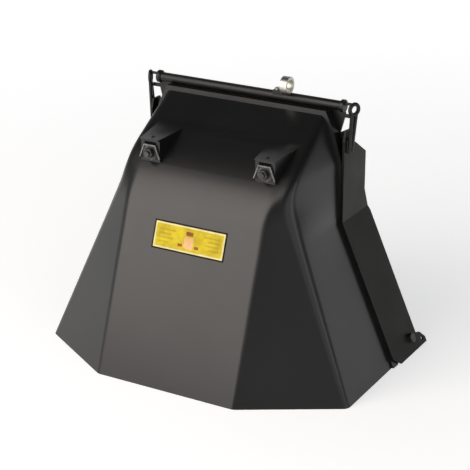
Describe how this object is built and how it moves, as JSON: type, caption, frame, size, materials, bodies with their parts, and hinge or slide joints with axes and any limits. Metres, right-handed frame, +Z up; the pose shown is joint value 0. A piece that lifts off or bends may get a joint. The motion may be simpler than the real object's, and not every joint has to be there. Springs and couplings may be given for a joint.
{
  "type": "mower deck deflector",
  "caption": "Black moulded discharge hood, open below and behind, on a steel frame with side plates, a top bar, hooks with eyes and a lifting bush.",
  "frame": {"origin": "centre of the bounding box, on the ground under the open bottom rim", "axes": "+X to the right seen from behind the machine's front panel side, -Y towards the front panel, +Y towards the open rear and the mower deck, +Z up"},
  "size_m": [0.4934, 0.3274, 0.3973],
  "materials": {
    "plastic": "semi-matte moulded black",
    "steel": "black powder coat, satin",
    "bolts": "blackened steel",
    "zinc": "zinc plated, dull",
    "sticker": "yellow printed film"
  },
  "bodies": {
    "root": {"hood": "plastic", "sticker": "sticker", "back_frame": "steel", "left_side_plate": "steel", "right_side_plate": "steel", "top_bar": "steel", "left_collar": "steel", "right_collar": "steel", "left_link": "steel", "right_link": "steel", "left_hook": "steel", "right_hook": "steel", "left_stay": "steel", "right_stay": "steel", "left_roof_bolt": "bolts", "right_roof_bolt": "bolts", "left_roof_washer": "bolts", "right_roof_washer": "bolts", "left_roof_nut": "bolts", "right_roof_nut": "bolts", "frame_bolts": "zinc", "frame_washers": "zinc", "frame_nuts": "zinc", "left_foot_bolt": "bolts", "right_foot_bolt": "bolts", "foot_nuts": "zinc", "lift_bush": "zinc", "bush_bracket": "steel", "bush_screw": "zinc"}
  },
  "joints": []
}
